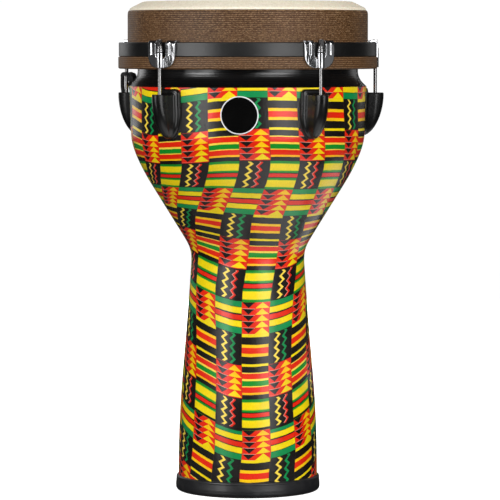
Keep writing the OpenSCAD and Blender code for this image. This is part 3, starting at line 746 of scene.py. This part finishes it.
def lug_mesh():
    zs, ss, H = lug_relief()

    def line(z):
        k = min(max((z - BASE) / STEP, 0), len(zs) - 1.001)
        i = int(k)
        lo, hi = H[i], H[i + 1]
        f = k - i
        if f < 0.02:
            return lo
        return np.where((lo > 0) & (hi > 0), lo * (1 - f) + hi * f, np.maximum(lo, hi))

    def at(row, s, w):
        ok = row > 0
        return np.interp(s, ss[ok], row[ok])

    def spread(z, n=61):
        """Breadths at which the section at z is sampled, even along its outline."""
        w = float(plate_width(np.array(z)))
        if w < 0.05:
            return np.zeros(n)
        s = np.linspace(-w, w, 1500)
        y = at(line(z), s, w)
        d = np.r_[0, np.cumsum(np.hypot(np.diff(s), np.diff(y)))]
        return np.interp(np.linspace(0, d[-1], n), d, s)

    heights = [BASE + 32 * (1 - math.cos(math.radians(t))) for t in np.arange(3, 90.1, 3)]
    heights += [486, 489, 492, 495, 498, 500, 502, 503.5, 504.5]
    rows = [(z, spread(z), None) for z in heights]
    s0 = rows[-1][1]
    for z in (505, 505.25, 505.5, 505.75, 506, 506.25, 506.5, 506.75, 507):
        rows.append((z, s0, None))
    for f in (0.04, 0.25, 0.5, 0.75, 0.96):
        rows.append((507.0 + 0.02 * f, s0, f))
    z = 507.25
    while z < PLATE_TOP - 1e-6:
        rows.append((z, s0 * float(plate_width(np.array(z))) / HALF_W, None))
        z += 0.25 if z < 510.5 or z > 512.2 else 0.5
    rows.append((PLATE_TOP, s0 * (HALF_W - 7) / HALF_W, None))
    A, B = line(507.0), line(507.25)
    verts = []
    for z, s, f in rows:
        w = float(plate_width(np.array(z)))
        if f is None:
            y = at(line(z), s, w)
        else:
            y = at(A, s, w) * (1 - f) + at(B, s, w) * f
        back = np.linspace(w, -w, 9)
        yb = np.sqrt((bowl_at(z) + 1.0) ** 2 - back ** 2)
        y = np.maximum(y, np.sqrt((bowl_at(z) + 1.3) ** 2 - s * s))
        verts.append(np.c_[np.r_[s, back], np.r_[y, yb], np.full(len(s) + 9, z)])
    # close both ends on the back
    for k in (0, -1):
        row = verts[k].copy()
        w = abs(row[0, 0])
        row[:61, 1] = np.sqrt((bowl_at(row[0, 2]) + 1.0) ** 2 - row[:61, 0] ** 2)
        row[61:, 0] = row[61:, 0]
        verts = [row] + verts if k == 0 else verts + [row]
    return np.array(verts)


def cutter(kind, **k):
    bm = bmesh.new()
    if kind == "tube":
        bmesh.ops.create_cone(bm, cap_ends=True, segments=40, radius1=k["r"], radius2=k["r"], depth=k["h"])
        if k.get("lie"):
            bmesh.ops.rotate(bm, verts=bm.verts, matrix=Matrix.Rotation(math.pi / 2, 3, "X"))
        bmesh.ops.translate(bm, verts=bm.verts, vec=k["at"])
    else:
        bmesh.ops.create_cube(bm, size=1.0)
        bmesh.ops.scale(bm, verts=bm.verts, vec=k["size"])
        bmesh.ops.translate(bm, verts=bm.verts, vec=k["at"])
    me = bpy.data.meshes.new("cutter")
    bm.to_mesh(me)
    bm.free()
    o = bpy.data.objects.new("cutter", me)
    scene.collection.objects.link(o)
    return o


def baked(o):
    """The object's mesh with its modifiers applied."""
    bpy.context.view_layer.update()
    me = bpy.data.meshes.new_from_object(o.evaluated_get(bpy.context.evaluated_depsgraph_get()))
    old = o.data
    o.modifiers.clear()
    o.data = me
    bpy.data.meshes.remove(old)
    return o


def build_lugs():
    co = lug_mesh()
    xyz = np.stack([co[..., 0], -co[..., 1], co[..., 2]], -1) / 1000
    o, _ = grid_object("lug_master", xyz, closed_v=True)
    bm = bmesh.new()
    bm.from_mesh(o.data)
    bmesh.ops.remove_doubles(bm, verts=bm.verts, dist=2e-6)
    bmesh.ops.holes_fill(bm, edges=[e for e in bm.edges if e.is_boundary], sides=0)
    bmesh.ops.recalc_face_normals(bm, faces=bm.faces)
    bm.to_mesh(o.data)
    bm.free()
    R = ROD_R
    cuts = [cutter("tube", r=0.0027, h=0.04, at=(0, -R, 0.4944)),
            cutter("tube", r=0.0044, h=0.016, at=(0, -R, 0.486)),
            cutter("box", size=(0.0088, 0.0252, 0.016), at=(0, -R + 0.0125, 0.486)),
            cutter("tube", r=0.00295, h=0.0215, lie=True, at=(0, -0.1518, 0.4672)),
            cutter("tube", r=0.00295, h=0.0215, lie=True, at=(0, -0.1518, 0.5025))]
    for c in cuts:
        m = o.modifiers.new("cut", "BOOLEAN")
        m.operation, m.solver, m.object = "DIFFERENCE", "EXACT", c
    baked(o)
    for c in cuts:
        bpy.data.objects.remove(c)
    o.data.polygons.foreach_set("use_smooth", [True] * len(o.data.polygons))
    o.data.set_sharp_from_angle(angle=math.radians(42))
    for name, a in NAMES.items():
        me = o.data.copy()
        me.transform(Matrix.Rotation(math.radians(a), 4, "Z"))
        piece = bpy.data.objects.new("casting_" + name, me)
        scene.collection.objects.link(piece)
        me.materials.clear()
        me.materials.append(M["gloss"])
        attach(piece, "drum")
        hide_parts("lug_" + name)
    bpy.data.objects.remove(o)


build_lugs()


# ---------------------------------------------------------------- claws: the CAD's with cast, polished edges
def build_claws():
    for name in NAMES:
        me = nodes["claw_" + name].data.copy()
        o = bpy.data.objects.new("cast_claw_" + name, me)
        scene.collection.objects.link(o)
        m = o.modifiers.new("weld", "WELD")
        m.merge_threshold = 2e-6
        m = o.modifiers.new("remesh", "REMESH")
        m.mode, m.voxel_size, m.adaptivity = "VOXEL", 0.00042, 0.0
        m.use_smooth_shade = True
        m = o.modifiers.new("smooth", "SMOOTH")
        m.factor, m.iterations = 0.5, 7
        baked(o)
        o.data.materials.clear()
        o.data.materials.append(M["chrome"])
        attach(o, "head")
        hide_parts("claw_" + name)


build_claws()


# ---------------------------------------------------------------- cord tied to one rod
LOOP = [(1.6, -7.4, 527.6), (-3, -5.2, 523), (-6.4, -2.4, 518), (-10.2, -1.2, 512.4), (-13.2, -1.2, 505.4), (-13.6, -2, 495),
        (-13.4, -3, 482), (-13.2, -2, 473.4), (-13.2, 1.4, 469.8), (-13.2, 5, 474), (-13.4, 7.2, 484), (-13.4, 9.4, 496),
        (-13.2, 10.6, 506), (-10.4, 10.4, 512.6), (-6.4, 8.8, 519), (-1.8, 6.6, 525.4), (2.6, 4.6, 529.4), (5.2, 1.2, 530.6),
        (4.8, -3.6, 530)]


def rod_frame(p, a):
    """A point of one rod's frame (along the hoop, outwards, up) in metres."""
    a = math.radians(a)
    tx, ty = math.cos(a), math.sin(a)
    ox, oy = math.sin(a), -math.cos(a)
    r = ROD_R * 1000 + p[1]
    return Vector(((tx * p[0] + ox * r) / 1000, (ty * p[0] + oy * r) / 1000, p[2] / 1000))


def closed_curve(pts, n):
    pts = np.array(pts, float)
    m = len(pts)
    out = []
    for i in range(m):
        p0, p1, p2, p3 = (pts[(i + k) % m] for k in (-1, 0, 1, 2))
        for t in np.arange(n) / n:
            out.append(0.5 * (2 * p1 + (p2 - p0) * t + (2 * p0 - 5 * p1 + 4 * p2 - p3) * t * t + (3 * p1 - p0 - 3 * p2 + p3) * t ** 3))
    return np.array(out)


def tube(name, pts, radius, sides=20, closed=True):
    pts = np.array(pts)
    n = len(pts)
    tan = np.roll(pts, -1, 0) - np.roll(pts, 1, 0) if closed else np.gradient(pts, axis=0)
    tan /= np.linalg.norm(tan, axis=1)[:, None]
    # carried frame, with its leftover twist spread over the loop
    u = np.cross(tan[0], [0.3, 0.2, 0.9])
    u /= np.linalg.norm(u)
    us = [u]
    for i in range(1, n):
        u = u - tan[i] * (u @ tan[i])
        u /= np.linalg.norm(u)
        us.append(u)
    us = np.array(us)
    if closed:
        end = us[-1] - tan[0] * (us[-1] @ tan[0])
        end /= np.linalg.norm(end)
        twist = math.atan2(np.cross(end, us[0]) @ tan[0], end @ us[0])
    else:
        twist = 0.0
    along = np.r_[0, np.cumsum(np.linalg.norm(np.diff(pts, axis=0), axis=1))]
    co = np.zeros((n, sides, 3))
    for i in range(n):
        w = np.cross(tan[i], us[i])
        for k in range(sides):
            a = 2 * math.pi * k / sides + twist * i / n
            co[i, k] = pts[i] + radius * (math.cos(a) * us[i] + math.sin(a) * w)
    o, faces = grid_object(name, co, closed_u=closed, closed_v=True)
    uu = np.tile(np.arange(sides) / sides, (n, 1))
    vv = np.repeat(along[:, None] * 1000 / 6.0, sides, 1)
    uv = np.c_[uu.ravel(), vv.ravel()]
    layer = o.data.uv_layers.new(name="Braid")
    loops = uv[faces]
    # no seam where the ring of sides or the loop of points closes
    loops[..., 0] = np.where(loops[..., 0].max(1, keepdims=True) - loops[..., 0] > 0.5, loops[..., 0] + 1, loops[..., 0])
    span = along[-1] * 1000 / 6.0
    gap = np.linalg.norm(pts[0] - pts[-1]) * 1000 / 6.0
    loops[..., 1] = np.where(loops[..., 1].max(1, keepdims=True) - loops[..., 1] > span / 2, loops[..., 1] + span + gap, loops[..., 1])
    layer.data.foreach_set("uv", loops.reshape(-1).astype(np.float32))
    return o


route = [list(rod_frame(p, NAMES["left_rear"])) for p in closed_curve(LOOP, 5)[:-3]]
CORD = 0.0052
cord = tube("cord_tie", route, CORD / 2, closed=False)
cord.data.materials.append(M["cord"])
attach(cord, "drum")
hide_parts("cord_loop")
# the hitch: close turns of the same cord where its ends meet
knot_path = []
for i in range(84):
    a = 2 * math.pi * i / 84 * 3.5
    rr = 0.92 + 0.15 * math.cos(a / 2)
    knot_path.append((1.2 + 2.7 * rr * math.cos(a), -8 + 2.9 * math.sin(a / 2.4 + 0.6), 526.4 + 4.2 * rr * math.sin(a)))
knot = tube("cord_knot", [list(rod_frame(p, NAMES["left_rear"])) for p in knot_path], 0.0026, 16, closed=False)
knot.data.materials.append(M["cord"])
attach(knot, "drum")


# ---------------------------------------------------------------- floor, light, camera
def area(name, az, dist, z, size, power, size_y=None, shown="both", aim=(0, 0, 0.4)):
    """A softbox at azimuth az (0 in front, positive to the right)."""
    d = bpy.data.lights.new(name, "AREA")
    d.shape = "RECTANGLE"
    d.size, d.size_y = size, size_y or size
    d.energy = power
    o = bpy.data.objects.new(name, d)
    a = math.radians(az)
    loc = Vector((dist * math.sin(a), -dist * math.cos(a), z))
    o.location = loc
    o.rotation_mode = "QUATERNION"
    o.rotation_quaternion = (Vector(aim) - loc).to_track_quat("-Z", "Y")
    o.visible_camera = False
    o.visible_glossy = shown != "matt"
    o.visible_diffuse = shown != "gloss"
    scene.collection.objects.link(o)


def floor():
    """A pale round floor."""
    n = 96
    verts, faces = [(0, 0, -0.0003)], []
    for r in (0.25, 0.8, 1.6, 3.0):
        verts += [(r * math.cos(2 * math.pi * i / n), r * math.sin(2 * math.pi * i / n), -0.0003) for i in range(n)]
    for i in range(n):
        k = (i + 1) % n
        faces.append((0, 1 + i, 1 + k))
        for ring in range(3):
            b = 1 + ring * n
            faces.append((b + i, b + n + i, b + n + k, b + k))
    o = mesh("studio_floor", verts, faces)
    g = Graph("pale_floor", IOR=1.45, Emission_Strength=0.97)
    _, _, _, P = g.obj()
    n = g.noise(P, 3.0, 3.0, 0.5)
    g.to("Base Color", g.mix(n * 0.3, lin(252, 252, 252), lin(248, 248, 248)))
    g.to("Roughness", g.smooth(n, 0.3, 0.7, 0.7, 0.8))
    g.b.inputs["Emission Color"].default_value = (1, 1, 1, 1)
    o.data.materials.append(g.mat)
    o.visible_glossy = False
    o.visible_diffuse = False


def studio():
    """White to the eye, dimmer as a light, and nearly dark in reflections."""
    world = bpy.data.worlds.new("studio")
    scene.world = world
    world.use_nodes = True
    t = world.node_tree
    bg = t.nodes["Background"]
    bg.inputs[0].default_value = (1.0, 1.0, 1.0, 1)
    path = t.nodes.new("ShaderNodeLightPath")

    def pick(socket, yes, no):
        m = t.nodes.new("ShaderNodeMix")
        t.links.new(path.outputs[socket], m.inputs[0])
        for s, v in ((m.inputs[3], yes), (m.inputs[2], no)):
            if isinstance(v, float):
                s.default_value = v
            else:
                t.links.new(v, s)
        return m.outputs[0]

    t.links.new(pick("Is Camera Ray", 1.02, pick("Is Glossy Ray", 0.02, 0.12)), bg.inputs[1])


floor()
studio()
area("softbox_left", -44, 2.3, 1.10, 0.85, 24, 0.55, shown="gloss")
area("softbox_left_low", -38, 2.3, 0.38, 0.5, 7, 0.95, shown="gloss")
area("softbox_left_wing", -54, 2.3, 0.85, 0.5, 4.5, 1.0, shown="gloss")
area("softbox_right", 30, 2.3, 1.10, 1.15, 21, 0.55, shown="gloss")
area("softbox_right_low", 39, 2.3, 0.38, 1.05, 10.4, 0.95, shown="gloss")
area("panel_left", -80, 2.2, 0.7, 0.9, 0.2, 1.3, shown="gloss")
area("panel_right", 74, 2.2, 0.7, 0.9, 0.7, 1.3, shown="gloss")
area("overhead_gloss", 20, 0.3, 2.3, 1.8, 8, shown="gloss")
area("edge_left", -140, 2.3, 1.0, 0.9, 4.5, 1.5, shown="gloss")
area("edge_right", 146, 2.3, 1.1, 0.8, 1.5, 1.5, shown="gloss")
area("key", 1, 3.3, 1.15, 1.5, 92, shown="matt")
area("side_left", -66, 2.4, 0.9, 1.2, 26, shown="matt")
area("side_right", 68, 2.4, 0.9, 1.2, 33, shown="matt")
area("overhead", 0, 0.4, 2.4, 1.4, 12, shown="matt")
area("back_fill", 176, 2.8, 1.0, 1.5, 40, shown="matt")
area("back_shine", -168, 2.6, 1.0, 1.0, 2.0, 1.4, shown="gloss")

# the pale floor's light, as the glossy parts see it: brighter to the right, and most of it
# starts above the foot so that the foot's blacks stay deep
GLOW = ((0.45, 0.28, 0.12, 0.42, 0.50), (0.263, -0.196, 0.12, 0.42, 0.56), (0.0, -0.41, 0.12, 0.42, 0.27), (-0.06, -0.165, 0.12, 0.13, 0.036),
        (-0.263, -0.196, 0.12, 0.42, 0.07), (0.0, -0.55, -0.002, 0.6, 0.35), (0.35, -0.25, -0.002, 0.6, 0.15),
        (-0.35, -0.25, -0.002, 0.6, 0.12), (-0.6, 0.4, -0.002, 0.6, 0.04))
for k, (x, y, z, size, power) in enumerate(GLOW):
    glow = bpy.data.lights.new("floor_glow_%d" % k, "AREA")
    glow.shape, glow.size, glow.energy = "DISK", size, power
    o = bpy.data.objects.new("floor_glow_%d" % k, glow)
    o.location, o.rotation_euler = (x, y, z), (math.pi, 0, 0)
    o.visible_diffuse = o.visible_camera = False
    scene.collection.objects.link(o)

AZ, DIST, CAM_Z, AIM_Z, PX = 3.9, 4.0, 0.570, 0.3068, 0.0012766
a = math.radians(AZ)
right = Vector((math.cos(a), math.sin(a), 0))
back = Vector((math.sin(a), -math.cos(a), 0))
aim = Vector((0, 0, AIM_Z)) + right * (2.2 * PX)
pos = aim + back * DIST + Vector((0, 0, CAM_Z - AIM_Z))
cam = bpy.data.cameras.new("camera")
camera = bpy.data.objects.new("camera", cam)
scene.collection.objects.link(camera)
cam.sensor_width = 36.0
cam.lens = 36.0 * (pos - aim).length / (500 * PX)
cam.clip_start, cam.clip_end = 0.05, 60
camera.location = pos
camera.rotation_mode = "QUATERNION"
camera.rotation_quaternion = (aim - pos).to_track_quat("-Z", "Y")
scene.camera = camera
scene.view_settings.view_transform = "Standard"
